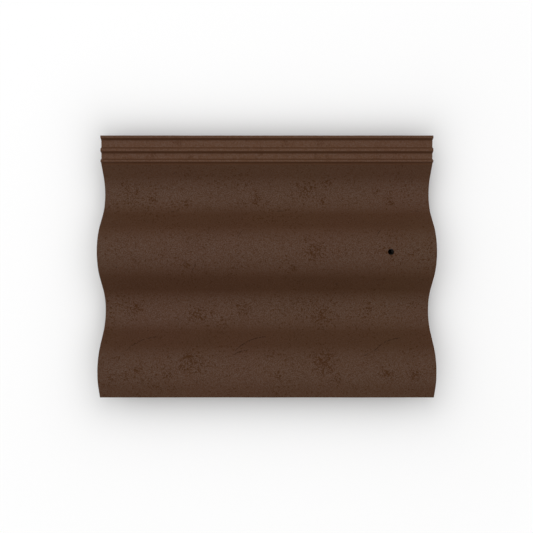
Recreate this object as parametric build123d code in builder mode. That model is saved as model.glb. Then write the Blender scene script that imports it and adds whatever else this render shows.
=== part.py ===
from build123d import *
from math import cos, radians, tan
import os

# Interlocking concrete roof tile with two rolls and two pans, moulded in one piece.
# X runs from the tail to the head, Y from the overlock to the underlock, Z upwards.
# The origin is the middle of the outline, at the level of the nib bottoms.

# Outline
tile_length = 420
wave_pitch = 150
wave_count = 2
side_lap = 30
body_thickness = 12

# Waves, measured on the weather side
wave_height = 33
flank_angle = 39  # slope of the straight flank between a pan and a roll
roll_radius = 53
wall_angle = 31  # slope of the wall between the first pan and the underlock
nose_angle = 22  # slope of the last roll where it runs out to the nose

# Underlock: ribs and channels from the outer edge inwards
rib_tops = (3.3, 3.4, 2.3)
channel_floors = (8.8, 6.6)
rib_flank = 2.2
rib_height = 3.7
rib_headroom = 3.1  # to the underside of the crest that closes over the ribs
inner_rib_step = 2.9  # inner rib above the wall that it stands on
shelf_thickness = 10
rib_edge_radius = 0.8
shelf_root_radius = 6

# Overlock
lock_clearance = 1.2
arris_radius = 1

# Hanging nibs, one under each pan at the head
nib_height = 13
nib_width = 42
nib_depth = 15
nib_setback = 14  # head end to the foot of the nib
nib_draft = 10
nib_edge_radius = 2

# Weather bars across the underside at the tail
bar_height = 3
bar_width = 8
bar_setbacks = (14, 40)

# Nail hole on the crest of the first roll
nail_hole_radius = 3.5
nail_hole_setback = 57

# Derived sizes and places
cover_width = wave_count * wave_pitch
tile_width = cover_width + side_lap
half_width = tile_width / 2
head_end = tile_length / 2
tail_end = -head_end
nib_foot = head_end - nib_setback - nib_depth
pan_level = nib_height + body_thickness
crest_level = pan_level + wave_height
rib_level = crest_level - body_thickness - rib_headroom
channel_level = rib_level - rib_height
shelf_bottom = channel_level - shelf_thickness

# The arc of a pan leaves the wave its height between tangent flanks
flank = radians(flank_angle)
radius_sum = (wave_pitch / 2 - wave_height / tan(flank)) / tan(flank / 2)
pan_radius = radius_sum - roll_radius

# The first pan lies where the wall that is tangent to it ends at the foot of the inner rib
wall = radians(wall_angle)
lock_width = sum(rib_tops) + sum(channel_floors) + (2 * len(rib_tops) - 2) * rib_flank
inner_rib_edge = half_width - lock_width
foot_place = inner_rib_edge - rib_flank * inner_rib_step / rib_height
foot_level = rib_level - inner_rib_step
first_pan = foot_place - (foot_level - pan_level) / tan(wall) - pan_radius * tan(wall / 2)
pan_places = [first_pan - n * wave_pitch for n in range(wave_count)]
roll_places = [place - wave_pitch / 2 for place in pan_places]


def wave_line(depth):
    # Pans and rolls as arcs joined by tangent flanks, this far below the weather side,
    # from the underlock towards the nose; gives the two ends
    arcs = []
    right_angle = wall_angle
    for pan_place, roll_place in zip(pan_places, roll_places):
        left_angle = nose_angle if roll_place == roll_places[-1] else flank_angle
        pan_centre = (pan_place, pan_level + pan_radius)
        roll_centre = (roll_place, crest_level - roll_radius)
        arcs.append(
            CenterArc(pan_centre, pan_radius + depth, 270 + right_angle, -right_angle - flank_angle)
        )
        arcs.append(
            CenterArc(roll_centre, roll_radius - depth, 90 - flank_angle, flank_angle + left_angle)
        )
        right_angle = flank_angle
    for before, after in zip(arcs, arcs[1:]):
        Line(before @ 1, after @ 0)
    return arcs[0] @ 0, arcs[-1] @ 1


def underlock_corners():
    # Corners of the ribs and channels, from the foot of the outer edge inwards
    corners = [(half_width, shelf_bottom)]
    place = half_width
    for rib_top, channel_floor in zip(rib_tops, (*channel_floors, 0)):
        corners.append((place, rib_level))
        corners.append((place - rib_top, rib_level))
        place -= rib_top + rib_flank
        corners.append((place, channel_level))
        if channel_floor:
            place -= channel_floor
            corners.append((place, channel_level))
            place -= rib_flank
    corners.append((place, shelf_bottom))
    return corners


# The ribs and channels of the side lock
with BuildSketch(Plane.YZ) as underlock:
    with BuildLine():
        FilletPolyline(underlock_corners(), radius=rib_edge_radius, close=True)
    make_face()

# The same lock on the neighbouring tile, with the clearance round it
with BuildSketch(Plane.YZ) as neighbour_lock:
    with Locations((-cover_width, 0)):
        add(underlock.sketch_local)
    offset(amount=lock_clearance)

# The whole section, seen from the head
with BuildSketch(Plane.YZ) as section:
    # Rolls, pans and the wall up to the inner rib
    with BuildLine():
        top_start, top_end = wave_line(0)
        under_start, under_end = wave_line(body_thickness)
        wall_run = (inner_rib_edge - top_start.X) / cos(wall)
        top_wall = PolarLine(top_start, wall_run, wall_angle)
        under_wall = PolarLine(under_start, wall_run, wall_angle)
        Line(top_wall @ 1, under_wall @ 1)
        Line(top_end, under_end)
    make_face()
    # Nose and lips, cut to clear the lock they close over
    with BuildLine():
        nose_edge = -half_width
        nose_level = top_end.Y - (top_end.X - nose_edge) * tan(radians(nose_angle))
        lip_edge = nose_edge + side_lap - rib_tops[0] - rib_flank
        Polyline(
            top_end,
            (nose_edge, nose_level),
            (nose_edge, channel_level),
            (lip_edge, channel_level),
            (lip_edge, crest_level - body_thickness),
            close=True,
        )
    make_face()
    add(neighbour_lock.sketch_local, mode=Mode.SUBTRACT)
    overlock = section.vertices().filter_by_position(Axis.X, nose_edge, roll_places[-1])
    fillet(overlock.group_by(Axis.X)[0] + overlock.group_by(Axis.Y)[0], arris_radius)
    # Underlock, rounded into the wall above and below
    add(underlock.sketch_local)
    shelf_root = (under_start.X + (shelf_bottom - under_start.Y) / tan(wall), shelf_bottom)
    fillet(section.vertices().sort_by_distance((foot_place, foot_level))[0], rib_edge_radius)
    fillet(section.vertices().sort_by_distance(shelf_root)[0], shelf_root_radius)

# A weather bar's section, which follows the underside and stops short of the overlock
with BuildSketch(Plane.YZ) as bar_section:
    with BuildLine():
        root_start, root_end = wave_line(body_thickness - bar_height)
        edge_start, edge_end = wave_line(body_thickness + bar_height)
        Line(root_start, edge_start)
        Line(root_end, edge_end)
    make_face()
    bar_end = half_width - cover_width + lock_clearance
    with Locations((bar_end, 0)):
        Rectangle(side_lap, crest_level, align=(Align.MAX, Align.MIN), mode=Mode.SUBTRACT)

# A hanging nib: square to the batten on its tail side, drafted on the other three,
# rounded all over, and tall enough to root in the middle of the body
with BuildPart() as nib:
    Box(
        nib_depth,
        nib_width,
        nib_height + body_thickness / 2,
        align=(Align.MIN, Align.CENTER, Align.MIN),
    )
    sides = nib.faces().filter_by(Axis.Z, reverse=True).sort_by(Axis.X)
    draft(sides[1:], Plane.XY, -nib_draft)
    root = nib.faces().sort_by(Axis.Z)[-1]
    fillet(nib.edges() - root.edges(), nib_edge_radius)

with BuildPart() as roof_tile:
    extrude(section.sketch, amount=head_end, both=True)
    for setback in bar_setbacks:
        with BuildSketch(Plane.YZ.offset(tail_end + setback)):
            add(bar_section.sketch_local)
        extrude(amount=bar_width)
    with Locations(*[(nib_foot, place, 0) for place in pan_places]):
        add(nib.part)
    with Locations((head_end - nail_hole_setback, roll_places[0], crest_level)):
        Hole(nail_hole_radius)

roof_tile.part.label = "roof_tile"

os.makedirs("parts", exist_ok=True)
export_step(roof_tile.part, "parts/roof_tile.step")

print("pan radius", round(pan_radius, 2), "first pan", round(first_pan, 3))
print("nose level", round(nose_level, 2), "rib level", round(rib_level, 2))
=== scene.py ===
import bpy
import bmesh
import math
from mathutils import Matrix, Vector


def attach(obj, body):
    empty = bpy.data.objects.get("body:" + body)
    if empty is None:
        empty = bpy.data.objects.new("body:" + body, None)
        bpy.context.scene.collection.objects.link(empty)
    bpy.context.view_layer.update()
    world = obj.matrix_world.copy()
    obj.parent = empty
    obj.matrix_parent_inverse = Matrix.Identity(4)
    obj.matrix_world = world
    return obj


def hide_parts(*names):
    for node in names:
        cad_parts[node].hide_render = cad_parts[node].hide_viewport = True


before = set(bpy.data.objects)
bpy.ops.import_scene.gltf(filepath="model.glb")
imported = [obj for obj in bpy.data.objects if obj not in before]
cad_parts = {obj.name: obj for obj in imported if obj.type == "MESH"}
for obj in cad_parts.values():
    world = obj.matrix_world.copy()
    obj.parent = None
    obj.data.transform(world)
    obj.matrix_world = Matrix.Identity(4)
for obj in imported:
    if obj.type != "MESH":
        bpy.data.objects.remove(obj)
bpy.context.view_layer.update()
print("frame loaded:", ", ".join(sorted(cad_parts)))


# picking in edit mode

def meshNow():
    return bmesh.from_edit_mesh(bpy.context.edit_object.data)


def pickNothing():
    bpy.ops.mesh.select_all(action="DESELECT")


def pickPoints(test):
    # selects the points that pass the test, given their place
    bpy.ops.mesh.select_mode(type="VERT")
    pickNothing()
    points = meshNow()
    for point in points.verts:
        point.select = test(point.co)
    points.select_flush_mode()
    bmesh.update_edit_mesh(bpy.context.edit_object.data)


def pickEdges(test):
    # selects the edges that pass the test, given their two ends
    bpy.ops.mesh.select_mode(type="EDGE")
    pickNothing()
    points = meshNow()
    for edge in points.edges:
        edge.select = test(edge.verts[0].co, edge.verts[1].co)
    points.select_flush_mode()
    bmesh.update_edit_mesh(bpy.context.edit_object.data)


def pickFaces(test):
    # selects the faces that pass the test, given their middle and normal
    bpy.ops.mesh.select_mode(type="FACE")
    pickNothing()
    points = meshNow()
    for face in points.faces:
        face.select = test(face.calc_center_median(), face.normal)
    points.select_flush_mode()
    bmesh.update_edit_mesh(bpy.context.edit_object.data)


loose = 0.0001  # for points that a bevel or a curve has moved a little


def near(a, b, gap=0.00002):
    return abs(a - b) < gap


def lineTo(y, z, cuts=1):
    # draws the outline on from its picked end, in equal steps
    tip = [point.co.copy() for point in meshNow().verts if point.select][0]
    step = (0, (y - tip.y) / cuts, (z - tip.z) / cuts)
    for _ in range(cuts):
        bpy.ops.mesh.extrude_region_move(TRANSFORM_OT_translate={"value": step})


def turnTo(centre, degrees, cuts):
    # draws the outline on round a centre in the section; degrees run towards the nose below the
    # centre, and towards the underlock above it
    bpy.ops.mesh.spin(steps=cuts, angle=math.radians(degrees), center=(tile["tail"], *centre),
                      axis=(1, 0, 0))


# the tile

tile = {
    "tail": -0.21, "head": 0.21,
    "noseEdge": -0.165, "lockEdge": 0.165,
    "cover": 0.3, "pitch": 0.15,
    "body": 0.012,
    "panLevel": 0.025, "crestLevel": 0.058,
    "firstPan": 0.092988,
    "panRadius": 0.0437115, "rollRadius": 0.053,
    "flankAngle": 39, "wallAngle": 31, "noseAngle": 22,
    "ribTops": (0.0033, 0.0034, 0.0023), "channels": (0.0088, 0.0066),
    "ribFlank": 0.0022, "ribLevel": 0.0429, "channelLevel": 0.0392, "shelfLevel": 0.0292,
    "innerRibStep": 0.0029, "ribRound": 0.0008, "shelfRound": 0.006,
    "lockGap": 0.0012, "arris": 0.001,
    # where the gap cuts the nose and the lip: a level, and two points of the section
    "noseFoot": 0.043857, "noseTurn": (-0.164236, 0.043122), "lipEdge": (-0.1405, 0.041548),
    "nibDepth": 0.015, "nibWidth": 0.042, "nibTail": 0.181, "nibRoot": 0.1984, "nibRound": 0.002,
    "nibSpread": 0.0025,         # how far the root of a nib is wider, at each side
    "bars": ((-0.196, -0.188), (-0.17, -0.162)), "barHeight": 0.003, "barRound": 0.0008,
    "barEnd": -2.5,              # degrees from the last crest
    "holePlace": 0.153, "holeRadius": 0.0037, "holeRound": 0.0002,
    "endRound": 0.0005,
    # rings of edges along the tile, closer within holePatch of the nail hole
    "ringStep": 0.0024, "holeStep": 0.0012, "holePatch": 0.006,
    # steps of the outline
    "lockSteps": 3, "lipSteps": 2, "noseSteps": 6, "shelfSteps": 9, "cornerSteps": 3, "edgeSteps": 2,
    "wallSteps": 7, "flankSteps": 8, "underWallSteps": 5, "underFlankSteps": 6,
    "arcSteps": (25, 60, 28, 28),               # over each pan and roll from the underlock
    "underArcSteps": (4, 16, 28, 48, 14, 11),   # and back under them, with a stop where the bars end
}

pans = [tile["firstPan"], tile["firstPan"] - tile["pitch"]]
rolls = [place - tile["pitch"] / 2 for place in pans]
flank, wall, nose = tile["flankAngle"], tile["wallAngle"], tile["noseAngle"]
# the foot of the inner rib, after the four whole flanks of the channels
lastFlank = tile["ribFlank"] * tile["innerRibStep"] / (tile["ribLevel"] - tile["channelLevel"])
lockFoot = (tile["lockEdge"] - sum(tile["ribTops"]) - sum(tile["channels"]) - 4 * tile["ribFlank"]
            - lastFlank)
panCentre = tile["panLevel"] + tile["panRadius"]
rollCentre = tile["crestLevel"] - tile["rollRadius"]


def onPan(place, degrees, depth=0):
    # a point of a pan, this many degrees towards the underlock, this far under the surface
    radius, turn = tile["panRadius"] + depth, math.radians(degrees)
    return place + radius * math.sin(turn), panCentre - radius * math.cos(turn)


def onRoll(place, degrees, depth=0):
    radius, turn = tile["rollRadius"] - depth, math.radians(degrees)
    return place + radius * math.sin(turn), rollCentre + radius * math.cos(turn)


def drawOutline():
    # one point, drawn round the section: over the lock and the waves to the nose, and back underneath
    bpy.ops.mesh.primitive_plane_add(size=0.01, location=(0, 0, 0))
    bpy.ops.object.mode_set(mode="EDIT")
    bpy.ops.mesh.select_all(action="SELECT")
    bpy.ops.mesh.merge(type="CENTER")
    bpy.ops.transform.translate(value=(tile["tail"], tile["lockEdge"], tile["shelfLevel"]))
    corners = []  # (place, level, how far the rounding reaches from the corner)

    # ribs and channels
    ribSlope = math.atan2(tile["ribLevel"] - tile["channelLevel"], tile["ribFlank"])
    ribTurn = tile["ribRound"] * math.tan(ribSlope / 2)
    place = tile["lockEdge"]
    lineTo(place, tile["ribLevel"], tile["lockSteps"])
    corners.append((place, tile["shelfLevel"], tile["ribRound"]))
    corners.append((place, tile["ribLevel"], tile["ribRound"]))
    for top, channel in zip(tile["ribTops"], (*tile["channels"], 0)):
        place -= top
        lineTo(place, tile["ribLevel"])
        corners.append((place, tile["ribLevel"], ribTurn))
        if channel:
            place -= tile["ribFlank"]
            lineTo(place, tile["channelLevel"])
            corners.append((place, tile["channelLevel"], ribTurn))
            place -= channel
            lineTo(place, tile["channelLevel"], tile["lockSteps"])
            corners.append((place, tile["channelLevel"], ribTurn))
            place -= tile["ribFlank"]
            lineTo(place, tile["ribLevel"])
            corners.append((place, tile["ribLevel"], ribTurn))
    footLevel = tile["ribLevel"] - tile["innerRibStep"]
    lineTo(place - lastFlank, footLevel)
    corners.append((place - lastFlank, footLevel, tile["ribRound"] / 4))

    # weather side
    arcSteps = tile["arcSteps"]
    lineTo(*onPan(pans[0], wall), tile["wallSteps"])
    turnTo((pans[0], panCentre), wall + flank, arcSteps[0])
    lineTo(*onRoll(rolls[0], flank), tile["flankSteps"])
    turnTo((rolls[0], rollCentre), -2 * flank, arcSteps[1])
    lineTo(*onPan(pans[1], flank), tile["flankSteps"])
    turnTo((pans[1], panCentre), 2 * flank, arcSteps[2])
    lineTo(*onRoll(rolls[1], flank), tile["flankSteps"])
    turnTo((rolls[1], rollCentre), -flank - nose, arcSteps[3])
    noseStart = onRoll(rolls[1], -nose)
    noseLevel = noseStart[1] - (noseStart[0] - tile["noseEdge"]) * math.tan(math.radians(nose))
    noseTurn = tile["arris"] * math.tan(math.radians(90 - nose) / 2)
    lineTo(tile["noseEdge"], noseLevel, tile["noseSteps"])
    corners.append((tile["noseEdge"], noseLevel, noseTurn))

    # nose and lips, which fill the neighbour's channels but for the gap
    gap = tile["lockGap"]
    slack = gap * math.tan(ribSlope / 2)  # the gap draws a flank aside by this much
    roof, lip = tile["ribLevel"] + gap, tile["channelLevel"] + gap
    roofTurn = (tile["ribRound"] + gap) * math.tan(ribSlope / 2)
    lipTurn = tile["arris"] * math.tan(ribSlope / 2)
    lineTo(tile["noseEdge"], tile["noseFoot"], tile["lockSteps"])
    corners.append((tile["noseEdge"], tile["noseFoot"], tile["arris"] / 2))
    lineTo(*tile["noseTurn"])
    channels = []
    place = tile["lockEdge"] - tile["cover"]
    for top, channel in zip(tile["ribTops"], tile["channels"]):
        place -= top + tile["ribFlank"]
        channels.append((place, place - channel))
        place -= channel + tile["ribFlank"]
    for start, end in reversed(channels):
        if start == channels[0][0]:
            roofEnd = end - tile["ribFlank"] + slack
            lineTo(roofEnd, roof, tile["lipSteps"])
            corners.append((roofEnd, roof, roofTurn))
        lineTo(end + slack, lip)
        lineTo(start - slack, lip, tile["lockSteps"])
        corners += [(end + slack, lip, lipTurn), (start - slack, lip, lipTurn)]
        if start != channels[0][0]:
            roofStart = start + tile["ribFlank"] - slack
            lineTo(roofStart, roof)
            corners.append((roofStart, roof, roofTurn))
    lineTo(*tile["lipEdge"])

    # underside
    under, underSteps, underArcSteps = tile["body"], tile["underFlankSteps"], tile["underArcSteps"]
    lipReach = (rolls[1] - tile["lipEdge"][0]) / (tile["rollRadius"] - under)
    lipBack = -math.degrees(math.asin(lipReach))
    lineTo(*onRoll(rolls[1], lipBack, under), tile["lipSteps"])
    turnTo((rolls[1], rollCentre), tile["barEnd"] - lipBack, underArcSteps[0])
    turnTo((rolls[1], rollCentre), flank - tile["barEnd"], underArcSteps[1])
    lineTo(*onPan(pans[1], -flank, under), underSteps)
    turnTo((pans[1], panCentre), -2 * flank, underArcSteps[2])
    lineTo(*onRoll(rolls[0], -flank, under), underSteps)
    turnTo((rolls[0], rollCentre), 2 * flank, underArcSteps[3])
    lineTo(*onPan(pans[0], -flank, under), underSteps)
    turnTo((pans[0], panCentre), -flank, underArcSteps[4])
    turnTo((pans[0], panCentre), -wall, underArcSteps[5])
    wallEnd = onPan(pans[0], wall, under)
    shelfRoot = wallEnd[0] + (tile["shelfLevel"] - wallEnd[1]) / math.tan(math.radians(wall))
    rootTurn = tile["shelfRound"] * math.tan(math.radians(wall) / 2)
    lineTo(shelfRoot, tile["shelfLevel"], tile["underWallSteps"])
    corners.append((shelfRoot, tile["shelfLevel"], rootTurn))
    lineTo(tile["lockEdge"], tile["shelfLevel"], tile["shelfSteps"])

    # closed, its corners rounded, and filled
    bpy.ops.mesh.select_all(action="SELECT")
    bpy.ops.mesh.remove_doubles(threshold=0.00001)
    for reach in sorted({corner[2] for corner in corners}):
        spots = [corner[:2] for corner in corners if corner[2] == reach]
        pickPoints(lambda at: any(near(at.y, y) and near(at.z, z) for y, z in spots))
        bpy.ops.mesh.bevel(offset=reach, segments=tile["cornerSteps"], affect="VERTICES")
    bpy.ops.mesh.select_all(action="SELECT")
    bpy.ops.mesh.edge_face_add()


def drawBody():
    # the outline drawn along the tile, with a ring of edges wherever something begins or ends
    stops = [tile["holePlace"] - tile["holePatch"], tile["holePlace"] + tile["holePatch"]]
    stops += [tile["nibTail"], tile["nibRoot"], tile["head"]]
    stops += [edge for bar in tile["bars"] for edge in bar]
    here = tile["tail"]
    for stop in sorted(stops):
        bpy.ops.mesh.extrude_region_move(TRANSFORM_OT_translate={"value": (stop - here, 0, 0)})
        here = stop
    bpy.ops.mesh.select_all(action="SELECT")
    bpy.ops.mesh.normals_make_consistent(inside=False)

    # rounded ends
    for end in (tile["tail"], tile["head"]):
        pickFaces(lambda at, up: near(at.x, end) and abs(up.x) > 0.99)
        bpy.ops.mesh.region_to_loop()
        bpy.ops.mesh.bevel(offset=tile["endRound"], segments=tile["edgeSteps"])
        pickFaces(lambda at, up: near(at.x, end) and abs(up.x) > 0.99)
        bpy.ops.mesh.inset(thickness=tile["endRound"] / 5)
        bpy.ops.mesh.quads_convert_to_tris(ngon_method="CLIP")
        bpy.ops.mesh.tris_convert_to_quads()

    # rings of edges all along
    here = tile["tail"] + tile["endRound"]
    for stop in sorted(stops):
        stop = min(stop, tile["head"] - tile["endRound"])
        step = tile["holeStep"] if near(stop - here, 2 * tile["holePatch"]) else tile["ringStep"]
        low, high = here, stop
        pickEdges(lambda a, b: near(min(a.x, b.x), low, loose) and near(max(a.x, b.x), high, loose))
        bpy.ops.mesh.subdivide(number_cuts=round((stop - here) / step) - 1)
        here = stop


def drawNailHole():
    # a patch of faces out on both sides of the crest, their edges rounded up and bridged
    crest = rolls[0]
    hole, radius = tile["holePlace"], tile["holeRadius"]
    levels = (tile["crestLevel"], tile["crestLevel"] - tile["body"])

    def away(at):
        return math.hypot(at.x - hole, at.y - crest)

    def within(at, reach, level):
        return max(abs(at.x - hole), abs(at.y - crest)) < reach and near(at.z, level, 0.001)

    for level in levels:
        pickFaces(lambda at, up: within(at, radius + loose, level))
        bpy.ops.mesh.delete(type="FACE")
        pickPoints(lambda at: within(at, radius + 2 * loose, level))
        bpy.ops.transform.tosphere(value=1)
        spots = [point.co for point in meshNow().verts if point.select]
        grow = radius * len(spots) / sum(away(spot) for spot in spots)
        # the roll falls away at both sides of the hole
        rim = level - radius * radius / 4 / tile["rollRadius"]
        bpy.ops.transform.resize(value=(grow, grow, 0), center_override=(hole, crest, rim))
    pickPoints(lambda at: near(away(at), radius, loose) and at.z > tile["channelLevel"])
    bpy.ops.mesh.bridge_edge_loops(number_cuts=4)
    for level in levels:
        pickEdges(lambda a, b: all(near(away(end), radius, loose) and near(end.z, level, 0.0003)
                                   for end in (a, b)))
        bpy.ops.mesh.bevel(offset=tile["holeRound"], segments=tile["edgeSteps"])


def drawNib(pan):
    # drawn down from the underside of a pan, then flattened at the level of the floor
    reach = tile["nibWidth"] / 2
    nibTail, nibHead = tile["nibTail"], tile["nibTail"] + tile["nibDepth"]
    pickFaces(lambda at, up: nibTail < at.x < tile["nibRoot"] and up.z < -0.5
              and abs(at.y - pan) < reach + tile["nibSpread"])
    bpy.ops.mesh.extrude_region_move(TRANSFORM_OT_translate={"value": (0, 0, -0.005)})
    bpy.ops.transform.resize(value=(1, 1, 0), center_override=(0, 0, 0))
    spots = [point.co.y for point in meshNow().verts if point.select]
    across = tile["nibWidth"] / (max(spots) - min(spots))
    along = tile["nibDepth"] / (tile["nibRoot"] - nibTail)
    bpy.ops.transform.resize(value=(along, across, 1), center_override=(nibTail, pan, 0))

    def onRim(at):
        # the sides of the nib's foot that a point lies on
        gaps = {"tail": at.x - nibTail, "head": at.x - nibHead,
                "left": at.y - pan - reach, "right": at.y - pan + reach}
        inside = gaps["tail"] > -loose and gaps["head"] < loose and abs(at.y - pan) < reach + loose
        if not inside or abs(at.z) > loose:
            return set()
        return {side for side, gap in gaps.items() if abs(gap) < loose}

    # the rim of its foot and its four upright edges are rounded
    pickEdges(lambda a, b: bool(onRim(a) & onRim(b))
              or (max(a.z, b.z) > 0.005 and len(onRim(a) or onRim(b)) == 2))
    bpy.ops.mesh.bevel(offset=tile["nibRound"], segments=tile["cornerSteps"])

    # rings of edges round its sides
    pickEdges(lambda a, b: abs(a.z - b.z) > 0.006 and max(a.z, b.z) < tile["panLevel"]
              and all(abs(end.y - pan) < reach + 0.003 and end.x > nibTail - 0.001 for end in (a, b)))
    bpy.ops.mesh.subdivide(number_cuts=4)


def drawBars():
    # the weather bars, drawn out from the underside at the tail
    start = onPan(pans[0], wall, tile["body"])[0]
    stop = onRoll(rolls[1], tile["barEnd"], tile["body"])[0]
    for low, high in tile["bars"]:
        pickFaces(lambda at, up: low < at.x < high and stop < at.y < start and up.z < -0.5)
        bpy.ops.mesh.extrude_region_shrink_fatten(
            TRANSFORM_OT_shrink_fatten={"value": tile["barHeight"], "use_even_offset": True})
        bpy.ops.mesh.region_to_loop()
        bpy.ops.mesh.bevel(offset=tile["barRound"], segments=tile["edgeSteps"])


bpy.ops.object.select_all(action="DESELECT")
drawOutline()
drawBody()
drawNailHole()
for pan in pans:
    drawNib(pan)
drawBars()
bpy.ops.object.mode_set(mode="OBJECT")
tileBody = bpy.context.object
tileBody.name = "tileBody"

# broad unevenness from the mould, inwards only
unevenness = {"width": 0.05, "depth": 0.00016}
clouds = bpy.data.textures.new("unevenness", "CLOUDS")
clouds.noise_scale = unevenness["width"]
settle = tileBody.modifiers.new("unevenness", "DISPLACE")
settle.texture = clouds
settle.texture_coords = "LOCAL"
settle.strength = unevenness["depth"]
settle.mid_level = 1
bpy.ops.object.modifier_apply(modifier="unevenness")
bpy.ops.object.shade_smooth_by_angle(angle=math.radians(50))
print("tile points", len(tileBody.data.vertices), "faces", len(tileBody.data.polygons))


# shader building

def put(tree, kind, feeds=None, **settings):
    # adds a node; feeds gives its sockets plain values or other nodes' outputs
    node = tree.nodes.new("ShaderNode" + kind)
    node.location = (len(tree.nodes) * 180, 0)
    for name, value in settings.items():
        setattr(node, name, value)
    for socket, feed in (feeds or {}).items():
        if isinstance(feed, bpy.types.NodeSocket):
            tree.links.new(feed, node.inputs[socket])
        else:
            node.inputs[socket].default_value = feed
    return node


def calc(tree, operation, *feeds):
    return put(tree, "Math", dict(enumerate(feeds)), operation=operation).outputs[0]


def times(tree, first, *feeds):
    for feed in feeds:
        first = calc(tree, "MULTIPLY", first, feed)
    return first


def most(tree, first, *feeds):
    # the strongest of some masks
    for feed in feeds:
        first = calc(tree, "MAXIMUM", first, feed)
    return first


def without(tree, *masks):
    return calc(tree, "SUBTRACT", 1, most(tree, *masks))


def vector(tree, operation, *feeds):
    return put(tree, "VectorMath", dict(enumerate(feeds)), operation=operation)


def apart(tree, feed):
    return put(tree, "SeparateXYZ", {0: feed}).outputs


def fade(tree, feed, low, high):
    # 0 up to low, 1 from high on; or the other way round where low is above high
    return put(tree, "MapRange", {"Value": feed, "From Min": low, "From Max": high}).outputs[0]


def blend(tree, factor, a, b):
    return put(tree, "Mix", {0: factor, 6: a, 7: b}, data_type="RGBA").outputs[2]


def noise(tree, place, size, detail=2, roughness=0.55):
    scale = calc(tree, "DIVIDE", 1, size) if isinstance(size, bpy.types.NodeSocket) else 1 / size
    feeds = {"Vector": place, "Scale": scale, "Detail": detail, "Roughness": roughness}
    return put(tree, "TexNoise", feeds).outputs


def shaken(tree, place, size, reach):
    # the place, moved about by up to reach
    moved = vector(tree, "MULTIPLY", noise(tree, place, size, 1)["Color"], (reach, reach, reach)).outputs[0]
    return vector(tree, "ADD", place, moved).outputs[0]


def startGroup(name, takes, gives=("Mask",), giveKind="Float"):
    # takes: socket names and their values; gives: socket names
    group = bpy.data.node_groups.new(name, "ShaderNodeTree")
    for label, value in takes.items():
        kind = {float: "Float", 3: "Vector", 4: "Color"}[float if isinstance(value, float) else len(value)]
        take = group.interface.new_socket(label, in_out="INPUT", socket_type="NodeSocket" + kind)
        take.default_value = value
    for label in gives:
        group.interface.new_socket(label, in_out="OUTPUT", socket_type="NodeSocket" + giveKind)
    return group, group.nodes.new("NodeGroupInput").outputs


def endGroup(group, **gives):
    give = group.nodes.new("NodeGroupOutput")
    for label, output in gives.items():
        group.links.new(output, give.inputs[label])


def use(tree, name, **feeds):
    node = tree.nodes.new("ShaderNodeGroup")
    node.node_tree = bpy.data.node_groups[name]
    node.location = (len(tree.nodes) * 180, 300)
    for label, feed in feeds.items():
        if isinstance(feed, bpy.types.NodeSocket):
            tree.links.new(feed, node.inputs[label])
        else:
            node.inputs[label].default_value = feed
    return node.outputs


def makeSandGrain():
    # grains of sand of about one size; the nearer High is to Low, the more sharply they stand out
    takes = {"Place": (0, 0, 0), "Size": 0.0015, "Low": 0.4, "High": 0.65}
    group, take = startGroup("sandGrain", takes)
    grains = noise(group, take["Place"], take["Size"], 2, 0.6)["Fac"]
    endGroup(group, Mask=fade(group, grains, take["Low"], take["High"]))


def makeColourDrift():
    # a batch of pigment never mixes quite evenly
    takes = {"Place": (0, 0, 0), "Colour": (0.5, 0.5, 0.5, 1), "Tint": 0.01, "Shade": 0.05}
    group, take = startGroup("colourDrift", takes, ("Colour",), "Color")
    wide = put(group, "SeparateColor", {0: noise(group, take["Place"], 0.11, 1)["Color"]}).outputs
    close = noise(group, take["Place"], 0.018, 3)["Fac"]
    tint = calc(group, "MULTIPLY_ADD", calc(group, "SUBTRACT", wide[0], 0.5), take["Tint"], 0.5)
    shade = calc(group, "SUBTRACT", calc(group, "ADD", wide[1], close), 1)
    value = calc(group, "MULTIPLY_ADD", shade, take["Shade"], 1)
    drifted = put(group, "HueSaturation", {"Hue": tint, "Value": value, "Color": take["Colour"]}).outputs[0]
    endGroup(group, Colour=drifted)


def makeWornPatch():
    # 1 in the middle, 0 from Radius on
    takes = {"Place": (0, 0, 0), "Middle": (0, 0, 0), "Radius": 0.02}
    group, take = startGroup("wornPatch", takes)
    away = vector(group, "DISTANCE", take["Place"], take["Middle"]).outputs["Value"]
    endGroup(group, Mask=fade(group, calc(group, "DIVIDE", away, take["Radius"]), 1, 0))


def makeThinSpots():
    # ragged spots that the coating missed, gathered where Patches is high
    takes = {"Place": (0, 0, 0), "Size": 0.006, "Patches": 0.0}
    group, take = startGroup("thinSpots", takes)
    spots = noise(group, take["Place"], take["Size"], 2, 1)["Fac"]
    level = calc(group, "MULTIPLY_ADD", take["Patches"], 0.16, spots)
    endGroup(group, Mask=fade(group, level, 0.63, 0.65))


def makePaintedSheen():
    # painted sheen: a pale flecked colour among the grains where the surface lies level, standing in for the
    # overhead light on level faces
    takes = {"Place": (0, 0, 0), "Up": (0, 0, 1), "Size": 0.0016, "Amount": 0.2}
    group, take = startGroup("paintedSheen", takes)
    level = fade(group, apart(group, take["Up"])[2], 0.80, 1)
    held = fade(group, noise(group, take["Place"], take["Size"], 2, 0.6)["Fac"], 0.46, 0.58)
    drift = calc(group, "MULTIPLY_ADD", noise(group, take["Place"], 0.02, 3)["Fac"], 0.6, 0.7)
    endGroup(group, Mask=times(group, level, held, drift, take["Amount"]))


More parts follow.
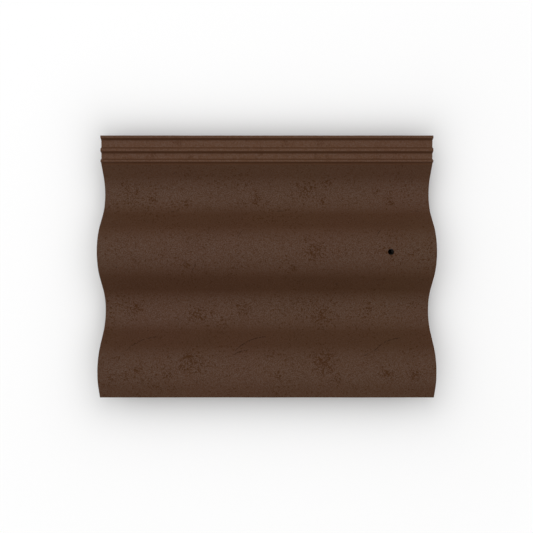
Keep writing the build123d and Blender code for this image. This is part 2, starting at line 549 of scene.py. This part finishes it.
def makePinholes():
    # Share of the cells have a hole, up to Size in radius
    takes = {"Place": (0, 0, 0), "Spacing": 0.012, "Size": 0.0008, "Share": 0.4}
    group, take = startGroup("pinholes", takes)
    moved = shaken(group, take["Place"], 0.002, 0.0007)
    scale = calc(group, "DIVIDE", 1, take["Spacing"])
    cells = put(group, "TexVoronoi", {"Vector": moved, "Scale": scale}).outputs
    away = calc(group, "MULTIPLY", cells["Distance"], take["Spacing"])
    chance = put(group, "SeparateColor", {0: cells["Color"]}).outputs
    radius = times(group, calc(group, "MULTIPLY_ADD", chance[1], 0.7, 0.3), take["Size"])
    depth = fade(group, calc(group, "DIVIDE", away, radius), 1, 0.4)
    there = calc(group, "LESS_THAN", chance[0], take["Share"])
    endGroup(group, Mask=times(group, depth, there))


def makeHairline():
    # the underlock side of a ring, seen from above, between two places along the tile
    takes = {"Place": (0, 0, 0), "Middle": (0, 0, 0), "Radius": 0.05, "From": 0.0, "To": 0.1, "Width": 0.0006}
    group, take = startGroup("hairline", takes)
    toMiddle = vector(group, "SUBTRACT", take["Place"], take["Middle"]).outputs[0]
    flat = vector(group, "MULTIPLY", toMiddle, (1, 1, 0)).outputs[0]
    shake = calc(group, "MULTIPLY_ADD", noise(group, take["Place"], 0.004, 2)["Fac"], 0.0012, -0.0006)
    ring = calc(group, "SUBTRACT", vector(group, "LENGTH", flat).outputs["Value"], take["Radius"])
    off = calc(group, "ABSOLUTE", calc(group, "ADD", ring, shake))
    line = fade(group, calc(group, "DIVIDE", off, take["Width"]), 1, 0.3)
    side = fade(group, apart(group, flat)[1], 0, 0.001)
    along = apart(group, take["Place"])[0]
    begun = fade(group, calc(group, "SUBTRACT", along, take["From"]), 0, 0.002)
    over = fade(group, calc(group, "SUBTRACT", take["To"], along), 0, 0.004)
    gaps = fade(group, noise(group, take["Place"], 0.0025, 1)["Fac"], 0.42, 0.54)
    endGroup(group, Mask=times(group, line, side, gaps, begun, over))


def makeEdgeWear():
    # where the coating and the cement skin have rubbed off, up to Reach from an edge
    takes = {"Place": (0, 0, 0), "Away": 1.0, "Reach": 0.002}
    group, take = startGroup("edgeWear", takes)
    ragged = noise(group, take["Place"], 0.0035, 3, 0.65)["Fac"]
    share = calc(group, "DIVIDE", take["Away"], take["Reach"])
    level = calc(group, "ADD", share, calc(group, "MULTIPLY_ADD", ragged, 1.6, -0.8))
    endGroup(group, Mask=fade(group, level, 0.75, 0.25))


def makeDragLines():
    # fine marks along the tile, from the moulding
    takes = {"Place": (0, 0, 0), "Spacing": 0.0015, "Length": 0.12}
    group, take = startGroup("dragLines", takes)
    width, length = (calc(group, "DIVIDE", 1, take[label]) for label in ("Spacing", "Length"))
    scale = put(group, "CombineXYZ", {0: length, 1: width, 2: width}).outputs[0]
    stretched = vector(group, "MULTIPLY", take["Place"], scale).outputs[0]
    lines = noise(group, stretched, 1, 3, 0.6)["Fac"]
    endGroup(group, Mask=fade(group, lines, 0.35, 0.65))


def makeAggregate():
    # sand cut through: each grain has its own shade
    takes = {"Place": (0, 0, 0), "Size": 0.0016}
    group, take = startGroup("aggregate", takes, ("Shade", "Rise"))
    moved = shaken(group, take["Place"], 0.002, 0.001)
    scale = calc(group, "DIVIDE", 1, take["Size"])
    cells = put(group, "TexVoronoi", {"Vector": moved, "Scale": scale}).outputs
    shade = put(group, "SeparateColor", {0: cells["Color"]}).outputs[0]
    endGroup(group, Shade=shade, Rise=fade(group, cells["Distance"], 0.55, 0.2))


for makeGroup in (makeSandGrain, makeColourDrift, makeWornPatch, makeThinSpots, makePaintedSheen, makePinholes,
                  makeHairline, makeEdgeWear, makeDragLines, makeAggregate):
    makeGroup()
print("shader groups made")


# what the finishes share; sizes in metres, rises in millimetres

skin = {
    # the first three set the colour, amount and fleck size of the painted sheen on level faces
    "paintedSheenColour": (0.170, 0.134, 0.115, 1), "paintedSheenAmount": 0.205, "paintedSheenSize": 0.0012,
    "spotSize": 0.0031, "fineSize": 0.0006, "sheenRoughness": 0.32,
}


def startMaterial(name):
    material = bpy.data.materials.new(name)
    material.use_nodes = True
    tree = material.node_tree
    return material, tree, tree.nodes["Principled BSDF"], put(tree, "TexCoord").outputs


def gather(tree, spread, place, patches):
    # patches of something seen from above, over what is spread all about
    for middle, radius in patches:
        patch = use(tree, "wornPatch", Place=place, Middle=(*middle, 0), Radius=radius)["Mask"]
        spread = most(tree, spread, patch)
    return spread


def layPaintedSheen(tree, at, kept, colour):
    # painted sheen: a pale colour laid where the surface lies level and the coating is kept
    paintedSheenMask = use(tree, "paintedSheen", Place=at["Object"], Up=at["Normal"], Size=skin["paintedSheenSize"],
                Amount=skin["paintedSheenAmount"])["Mask"]
    return blend(tree, times(tree, paintedSheenMask, kept), colour, skin["paintedSheenColour"])


def finish(tree, shader, colour, rough, specular, sheen, relief):
    # relief: pairs of a mask and its rise
    tree.links.new(colour, shader.inputs["Base Color"])
    tree.links.new(rough, shader.inputs["Roughness"])
    shader.inputs["Specular IOR Level"].default_value = specular
    if sheen:
        tree.links.new(sheen, shader.inputs["Coat Weight"])
        shader.inputs["Coat Roughness"].default_value = skin["sheenRoughness"]
    height = 0
    for mask, rise in relief:
        height = calc(tree, "MULTIPLY_ADD", mask, rise, height)
    bump = put(tree, "Bump", {"Strength": 1, "Distance": 0.001, "Height": height})
    tree.links.new(bump.outputs[0], shader.inputs["Normal"])


# coated concrete of the weather side

coat = {
    "colour": (0.0684, 0.0313, 0.0163, 1), "bare": (0.053, 0.0216, 0.0083, 1),
    "pale": (0.125, 0.061, 0.034, 1), "deep": (0.026, 0.011, 0.006, 1),
    "tint": 0.012, "shade": 0.10,
    "roughness": 0.82, "smoothGrain": 0.12, "specular": 0.04, "sheen": 0.20,
    "grainSize": 0.0013, "grainLow": 0.42, "grainHigh": 0.64, "grainPale": 0.03,
    "holeSpacing": 0.011, "holeSize": 0.001, "holeShare": 0.3,
    "wornReach": 0.0022, "wornPale": 0.2, "markDeep": 0.7,
    # by the inner rib the spray is missing in all of the first width, and nowhere past the second
    "maskedWidth": (0.0008, 0.0014), "maskedRagged": 0.001,
    # thinner coating here and there all over
    "thinSpread": 0.35, "thinSize": 0.045, "thinFrom": 0.48, "thinTo": 0.66,
    "rises": {"grain": 0.004, "fine": 0.008, "holes": -0.5, "lines": -0.3, "thin": -0.08, "broad": 0.12},
    "broadSize": 0.012,
    # places where the coating is thin, seen from above: middle and radius
    "patches": (
        ((-0.168, 0.095), 0.007), ((-0.149, 0.087), 0.013), ((-0.103, 0.080), 0.009),
        ((-0.013, 0.088), 0.013), ((0.040, 0.103), 0.007), ((0.052, 0.098), 0.018),
        ((0.072, 0.085), 0.010), ((0.076, 0.108), 0.010), ((0.141, 0.095), 0.006),
        ((0.160, 0.084), 0.011), ((-0.100, 0.002), 0.008), ((0.033, -0.002), 0.008),
        ((0.049, 0.033), 0.006), ((0.060, 0.018), 0.020), ((-0.170, -0.055), 0.014),
        ((-0.090, -0.064), 0.018), ((-0.070, -0.061), 0.006), ((-0.094, -0.118), 0.024),
        ((-0.123, -0.135), 0.010), ((-0.160, -0.130), 0.011), ((-0.030, -0.056), 0.014),
        ((0.072, -0.066), 0.024), ((0.132, -0.056), 0.012), ((0.070, -0.118), 0.026),
        ((0.014, -0.134), 0.010), ((0.086, -0.140), 0.012), ((0.150, -0.132), 0.016),
        ((0.184, -0.134), 0.014),
    ),
    # drag marks of the mould: middle of the ring, radius, from and to along the tile, width
    "hairlines": (
        ((-0.138, -0.146), 0.056, -0.1775, -0.138, 0.0006), ((-0.001, -0.146), 0.056, -0.0405, 0.002, 0.0006),
        ((0.172, -0.147), 0.056, 0.133, 0.172, 0.0006), ((-0.018, -0.154), 0.050, -0.0455, -0.022, 0.0005),
        ((-0.060, -0.020), 0.036, -0.0955, -0.084, 0.0006), ((0.147, -0.154), 0.050, 0.120, 0.143, 0.0005),
        ((-0.155, 0.030), 0.020, -0.1745, -0.166, 0.0005), ((-0.017, 0.030), 0.020, -0.0365, -0.028, 0.0005),
        ((0.155, 0.030), 0.020, 0.1355, 0.144, 0.0005), ((-0.119, -0.030), 0.101, -0.124, -0.112, 0.0005),
        ((0.017, -0.030), 0.101, 0.012, 0.024, 0.0005), ((0.190, -0.030), 0.101, 0.184, 0.197, 0.0005),
    ),
}


def makeCoated():
    material, tree, shader, at = startMaterial("coatedConcrete")
    place = at["Object"]
    plan = vector(tree, "MULTIPLY", place, (1, 1, 0)).outputs[0]
    x, y, _ = apart(tree, place)

    # thin and missing coating
    wide = noise(tree, place, coat["thinSize"], 2)["Fac"]
    spread = times(tree, fade(tree, wide, coat["thinFrom"], coat["thinTo"]), coat["thinSpread"])
    patches = gather(tree, spread, plan, coat["patches"])
    thin = use(tree, "thinSpots", Place=place, Size=skin["spotSize"], Patches=patches)["Mask"]
    toEnd = calc(tree, "SUBTRACT", tile["head"], calc(tree, "ABSOLUTE", x))
    toEdge = calc(tree, "MINIMUM", toEnd, calc(tree, "SUBTRACT", y, tile["noseEdge"]))
    worn = use(tree, "edgeWear", Place=place, Away=toEdge, Reach=coat["wornReach"])["Mask"]
    # the spray stops just short of the inner rib
    reach = coat["maskedRagged"]
    ragged = calc(tree, "MULTIPLY_ADD", noise(tree, place, 0.004, 3)["Fac"], reach, -reach / 2)
    toLock = calc(tree, "ADD", calc(tree, "SUBTRACT", lockFoot, y), ragged)
    maskedAll, maskedTo = coat["maskedWidth"]
    masked = fade(tree, toLock, maskedTo, maskedAll)

    # grain, pinholes and drag marks
    grain = use(tree, "sandGrain", Place=place, Size=coat["grainSize"], Low=coat["grainLow"],
                High=coat["grainHigh"])["Mask"]
    holes = use(tree, "pinholes", Place=plan, Spacing=coat["holeSpacing"], Size=coat["holeSize"],
                Share=coat["holeShare"])["Mask"]
    lines = most(tree, *[
        use(tree, "hairline", Place=place, Middle=(*middle, 0), Radius=radius, From=start, To=stop,
            Width=width)["Mask"]
        for middle, radius, start, stop, width in coat["hairlines"]])

    colour = use(tree, "colourDrift", Place=place, Colour=coat["colour"], Tint=coat["tint"],
                 Shade=coat["shade"])["Colour"]
    paleness = most(tree, times(tree, worn, coat["wornPale"]), times(tree, grain, coat["grainPale"]))
    colour = blend(tree, paleness, colour, coat["pale"])
    kept = without(tree, thin, worn, holes, lines)
    # painted sheen on the level faces of the coating
    colour = layPaintedSheen(tree, at, kept, colour)
    colour = blend(tree, thin, colour, coat["bare"])
    # painted shade in the pinholes; the hairlines are darkened as marks
    marks = times(tree, most(tree, lines, holes), coat["markDeep"])
    colour = blend(tree, marks, colour, coat["deep"])
    colour = blend(tree, masked, colour, bareMixes["lockConcrete"]["colour"])

    rough = calc(tree, "MULTIPLY_ADD", grain, -coat["smoothGrain"], coat["roughness"])
    sheen = times(tree, grain, coat["sheen"], kept)
    masks = {"grain": grain, "fine": noise(tree, place, skin["fineSize"], 2)["Fac"], "holes": holes,
             "lines": lines, "thin": thin, "broad": noise(tree, place, coat["broadSize"], 3)["Fac"]}
    finish(tree, shader, colour, rough, coat["specular"], sheen,
           [(mask, coat["rises"][name]) for name, mask in masks.items()])
    return material


# bare concrete: the lock, the underside and the cut ends, each with its own mix

bareMixes = {
    "lockConcrete": {
        "colour": (0.088, 0.0378, 0.0182, 1), "pale": (0.145, 0.080, 0.052, 1),
        "deep": (0.035, 0.014, 0.007, 1),
        "tint": 0.01, "shade": 0.10, "roughness": 0.7, "specular": 0.08, "sheen": 0.12,
        "facing": (1, 1, 0),  # holes and patches are laid out across the axis that is 0
        "grainSize": 0.0014, "grain": 0.05, "sand": 0.0, "drag": 0.1, "bloom": 0.0,
        "mottle": 0.3, "flankShade": 0.22, "wornPale": 0.3,
        "holeSpacing": 0.012, "holeSize": 0.0008, "holeShare": 0.25, "rise": 0.01, "fine": 0.015,
        "patches": (
            ((-0.112, 0.156), 0.009), ((-0.145, 0.142), 0.009), ((-0.096, 0.140), 0.008),
            ((-0.009, 0.142), 0.010), ((0.025, 0.156), 0.008), ((0.034, 0.139), 0.007),
            ((0.067, 0.157), 0.010), ((0.062, 0.140), 0.008), ((0.077, 0.139), 0.010),
            ((0.164, 0.142), 0.009), ((0.198, 0.156), 0.008),
        ),
    },
    "underConcrete": {
        "colour": (0.092, 0.048, 0.029, 1), "pale": (0.19, 0.135, 0.10, 1),
        "deep": (0.03, 0.014, 0.008, 1),
        "tint": 0.015, "shade": 0.18, "roughness": 0.75, "specular": 0.25, "sheen": 0,
        "facing": (1, 1, 0),
        "grainSize": 0.0016, "grain": 0.25, "sand": 0.1, "drag": 0.5, "bloom": 0.45,
        "mottle": 0.2, "flankShade": 0, "wornPale": 0.3,
        "holeSpacing": 0.007, "holeSize": 0.0011, "holeShare": 0.5, "rise": 0.04, "fine": 0.03,
        "patches": (),
    },
    "cutConcrete": {
        "colour": (0.095, 0.050, 0.030, 1), "pale": (0.26, 0.20, 0.15, 1),
        "deep": (0.03, 0.014, 0.008, 1),
        "tint": 0.01, "shade": 0.12, "roughness": 0.88, "specular": 0.25, "sheen": 0,
        "facing": (0, 1, 1),
        "grainSize": 0.0010, "grain": 0.3, "sand": 0.55, "drag": 0.0, "bloom": 0.1,
        "mottle": 0.15, "flankShade": 0, "wornPale": 0,
        "holeSpacing": 0.005, "holeSize": 0.0009, "holeShare": 0.6, "rise": 0.12, "fine": 0.03,
        "patches": (),
    },
}

# what every mix has in the same way
bare = {
    "grainLow": 0.42, "grainHigh": 0.68, "sandSize": 0.0017, "wornReach": 0.002,
    "dragSpacing": 0.0016, "dragLength": 0.14,
    "hazeSize": 0.07, "hazeFrom": 0.48, "hazeTo": 0.72, "smoothGrain": 0.14, "roughHaze": 0.15,
    "mottleSpread": 0.3, "mottleSize": 0.03, "mottleFrom": 0.45, "mottleTo": 0.65,
    "flankShadeFrom": -0.3, "flankShadeTo": -0.8,          # how far a flank faces the weather side
    "holeDeep": 0.7, "dragDeep": 0.4, "holeRise": -0.6, "dragRise": -0.06, "sandRise": 0.25,
    "broadRise": 0.15, "broadSize": 0.01,
    # painted shade in the nail hole: its colour, reach and fade
    "holeShade": (0.012, 0.006, 0.003, 1), "holeShadeReach": 0.011, "holeShadeFrom": 0.12, "holeShadeTo": 0.4,
}


def makeBare(name):
    mix = bareMixes[name]
    material, tree, shader, at = startMaterial(name)
    place = at["Object"]
    plan = vector(tree, "MULTIPLY", place, mix["facing"]).outputs[0]
    toEnd = calc(tree, "SUBTRACT", tile["head"], calc(tree, "ABSOLUTE", apart(tree, place)[0]))

    grain = use(tree, "sandGrain", Place=place, Size=mix["grainSize"], Low=bare["grainLow"],
                High=bare["grainHigh"])["Mask"]
    sand = use(tree, "aggregate", Place=place, Size=bare["sandSize"])
    holes = use(tree, "pinholes", Place=plan, Spacing=mix["holeSpacing"], Size=mix["holeSize"],
                Share=mix["holeShare"])["Mask"]
    drag = use(tree, "dragLines", Place=place, Spacing=bare["dragSpacing"],
               Length=bare["dragLength"])["Mask"]
    worn = use(tree, "edgeWear", Place=place, Away=toEnd, Reach=bare["wornReach"])["Mask"]
    clouds = noise(tree, place, bare["hazeSize"], 4)["Fac"]
    haze = times(tree, fade(tree, clouds, bare["hazeFrom"], bare["hazeTo"]), mix["bloom"])

    colour = use(tree, "colourDrift", Place=place, Colour=mix["colour"], Tint=mix["tint"],
                 Shade=mix["shade"])["Colour"]
    paleness = most(tree, times(tree, grain, mix["grain"]),
                    times(tree, fade(tree, sand["Shade"], 0.45, 1), mix["sand"]),
                    haze, times(tree, worn, mix["wornPale"]))
    colour = blend(tree, paleness, colour, mix["pale"])

    wide = noise(tree, place, bare["mottleSize"], 2)["Fac"]
    spread = times(tree, fade(tree, wide, bare["mottleFrom"], bare["mottleTo"]), bare["mottleSpread"])
    patches = gather(tree, spread, plan, mix["patches"])
    mottle = use(tree, "thinSpots", Place=place, Size=skin["spotSize"], Patches=patches)["Mask"]
    kept = without(tree, mottle, holes)
    # painted sheen where the surface lies level
    colour = layPaintedSheen(tree, at, kept, colour)

    # painted shade: flanks that face the weather side are darkened
    inward = fade(tree, apart(tree, at["Normal"])[1], bare["flankShadeFrom"], bare["flankShadeTo"])
    # painted shade in the pinholes; drag lines, mottle and dark sand grains are darkened as marks
    darkness = most(tree, times(tree, holes, bare["holeDeep"]),
                    times(tree, drag, mix["drag"] * bare["dragDeep"]),
                    times(tree, mottle, mix["mottle"]), times(tree, inward, mix["flankShade"]),
                    times(tree, fade(tree, sand["Shade"], 0.3, 0), mix["sand"]))
    colour = blend(tree, darkness, colour, mix["deep"])

    # painted shade: the nail hole's wall darkens towards its middle
    holeMiddle = (tile["holePlace"], rolls[0], tile["crestLevel"] - tile["body"] / 2)
    holeShade = use(tree, "wornPatch", Place=place, Middle=holeMiddle, Radius=bare["holeShadeReach"])["Mask"]
    colour = blend(tree, fade(tree, holeShade, bare["holeShadeFrom"], bare["holeShadeTo"]), colour, bare["holeShade"])

    rough = calc(tree, "MULTIPLY_ADD", grain, -bare["smoothGrain"], mix["roughness"])
    rough = calc(tree, "MULTIPLY_ADD", haze, bare["roughHaze"], rough)
    sheen = times(tree, grain, mix["sheen"], kept) if mix["sheen"] else None
    relief = [(grain, mix["rise"]), (noise(tree, place, skin["fineSize"], 2)["Fac"], mix["fine"]),
              (holes, bare["holeRise"]), (drag, bare["dragRise"] * mix["drag"]),
              (sand["Rise"], bare["sandRise"] * mix["sand"]),
              (noise(tree, place, bare["broadSize"], 3)["Fac"], bare["broadRise"])]
    finish(tree, shader, colour, rough, mix["specular"], sheen, relief)
    return material


def giveMaterials():
    # underside first, then the lock, the weather side and nose, and the cut ends
    places = (
        ("underConcrete", lambda at, up: True),
        ("lockConcrete", lambda at, up: at.y > lockFoot
         and (up.z > -0.5 or at.z > tile["shelfLevel"] + 0.001)),
        ("coatedConcrete", lambda at, up: at.y < lockFoot and up.z > 0.05),
        ("coatedConcrete", lambda at, up: at.y < tile["noseEdge"] + tile["lockGap"]
         and up.y < -0.3 and up.z > -0.6),
        ("cutConcrete", lambda at, up: abs(at.x) > tile["head"] - tile["endRound"] and abs(up.x) > 0.75),
    )
    bpy.ops.object.mode_set(mode="EDIT")
    slots = {}
    for name, test in places:
        if name not in slots:
            slots[name] = len(slots)
            bpy.ops.object.material_slot_add()
            tileBody.active_material = makeCoated() if name == "coatedConcrete" else makeBare(name)
        pickFaces(test)
        tileBody.active_material_index = slots[name]
        bpy.ops.object.material_slot_assign()
    bpy.ops.object.mode_set(mode="OBJECT")


giveMaterials()
print("materials on the tile:", ", ".join(slot.material.name for slot in tileBody.material_slots))

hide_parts("roof_tile")
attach(tileBody, "root")


# floor, camera and lights

stage = {
    "floorSize": 30, "floorPale": (0.75, 0.75, 0.75, 1), "floorWhite": (0.975, 0.975, 0.975, 1),
    "floorRoughness": 0.9, "whiteFrom": (0.1, 0.3),
    # painted shadow: towards the tile and under it the floor's colour is darkened, deepening its shadow
    "shadeDepth": 0.37, "shadeReach": 0.0265, "shadeStart": 0.006, "darkest": 0.1,
    # painted shadow: a near-black spot on the floor under the nail hole
    "holeShadowSpot": (0.1665, 0.0188, 0), "holeShadowSpotReach": (0.014, 0.024),
    "holeShadowColour": (0.002, 0.0015, 0.001, 1),
    "cameraPlace": (-0.0005, 0.0083, 0.6642), "cameraTilt": -0.789, "lens": 33.21,
    "skyLevel": 0.17, "glowLevel": 1.14,          # a wide soft light overhead, over an even sky
    "glowAim": (-0.03, 0.12, 1), "glowReach": 55, "glowSoft": 12,  # degrees
    # place, size and power; the second lights the underside
    "softboxes": (((-0.5, 0.5, 1.6), 1.2, 3), ((0, 0, -0.8), 1.2, 6)),
}


def makeFloor():
    bpy.ops.mesh.primitive_plane_add(size=stage["floorSize"], location=(0, 0, 0))
    floor = bpy.context.object
    floor.name = "floor"
    paper, tree, shader, at = startMaterial("paper")
    place = at["Object"]
    shader.inputs["Roughness"].default_value = stage["floorRoughness"]
    shader.inputs["Specular IOR Level"].default_value = 0
    ray = put(tree, "LightPath").outputs
    seen = most(tree, ray["Is Camera Ray"], ray["Is Glossy Ray"], ray["Is Transmission Ray"])

    # how far a place is from the tile's outline, less than 0 under the tile
    corner = (tile["head"], tile["lockEdge"] + stage["shadeStart"], 0)
    beyond = vector(tree, "SUBTRACT", vector(tree, "ABSOLUTE", place).outputs[0], corner).outputs[0]
    outwards = vector(tree, "MAXIMUM", beyond, (0, 0, 0)).outputs[0]
    outside = vector(tree, "LENGTH", outwards).outputs["Value"]
    beyondX, beyondY, _ = apart(tree, beyond)
    inside = calc(tree, "MINIMUM", most(tree, beyondX, beyondY), 0)
    away = calc(tree, "ADD", outside, inside)

    # painted shadow: the floor's white darkens towards the tile's outline and under it
    depth = calc(tree, "EXPONENT", calc(tree, "DIVIDE", away, -stage["shadeReach"]))
    clearness = most(tree, calc(tree, "MULTIPLY_ADD", depth, -stage["shadeDepth"], 1), stage["darkest"])
    white = blend(tree, clearness, (0, 0, 0, 1), stage["floorWhite"])
    # painted shadow: the floor below the nail hole is painted near black
    toSpot = vector(tree, "DISTANCE", place, stage["holeShadowSpot"]).outputs["Value"]
    spotAll, spotTo = stage["holeShadowSpotReach"]
    white = blend(tree, fade(tree, toSpot, spotTo, spotAll), white, stage["holeShadowColour"])
    tree.links.new(blend(tree, seen, stage["floorPale"], white), shader.inputs["Base Color"])

    # far off it is as white as the backdrop
    far = times(tree, fade(tree, outside, *stage["whiteFrom"]), ray["Is Camera Ray"])
    bright = put(tree, "Emission", {"Color": (1, 1, 1, 1), "Strength": 1}).outputs[0]
    surface = put(tree, "MixShader", {0: far, 1: shader.outputs[0], 2: bright}).outputs[0]
    # it gives way to the eye and to the lamp below it, so that the underside shows
    below = times(tree, put(tree, "NewGeometry").outputs["Backfacing"], ray["Is Camera Ray"])
    givesWay = most(tree, below, ray["Is Shadow Ray"])
    clear = put(tree, "BsdfTransparent").outputs[0]
    surface = put(tree, "MixShader", {0: givesWay, 1: surface, 2: clear}).outputs[0]
    tree.links.new(surface, tree.nodes["Material Output"].inputs["Surface"])
    floor.data.materials.append(paper)


def makeStudio():
    studio = bpy.data.worlds.new("studio")
    bpy.context.scene.world = studio
    studio.use_nodes = True
    tree = studio.node_tree
    background = tree.nodes["Background"]
    way = put(tree, "TexCoord").outputs["Generated"]
    aim = Vector(stage["glowAim"]).normalized()
    towards = vector(tree, "DOT_PRODUCT", way, tuple(aim)).outputs["Value"]
    soft = stage["glowSoft"]
    rim, full = (math.cos(math.radians(stage["glowReach"] + turn)) for turn in (soft, -soft))
    glow = calc(tree, "MULTIPLY_ADD", fade(tree, towards, rim, full), stage["glowLevel"], stage["skyLevel"])
    seen = put(tree, "LightPath").outputs["Is Camera Ray"]
    level = calc(tree, "ADD", times(tree, glow, without(tree, seen)), seen)
    tree.links.new(level, background.inputs["Strength"])
    background.inputs["Color"].default_value = (1, 1, 1, 1)

    for place, size, power in stage["softboxes"]:
        bpy.ops.object.light_add(type="AREA", location=place)
        softbox = bpy.context.object
        softbox.name = "softbox"
        softbox.data.size = size
        softbox.data.energy = power
        softbox.rotation_euler = (-softbox.location).to_track_quat("-Z", "Y").to_euler()


def makeCamera():
    bpy.ops.object.camera_add(location=stage["cameraPlace"])
    camera = bpy.context.object
    camera.name = "camera"
    camera.data.lens = stage["lens"]
    camera.data.sensor_width = 36
    # looks straight down but for the tilt
    camera.rotation_euler = (math.radians(stage["cameraTilt"]), 0, 0)
    bpy.context.scene.camera = camera
    bpy.context.scene.view_settings.view_transform = "Standard"


bpy.ops.object.select_all(action="DESELECT")
makeFloor()
makeStudio()
makeCamera()
print("floor, lights and camera set")
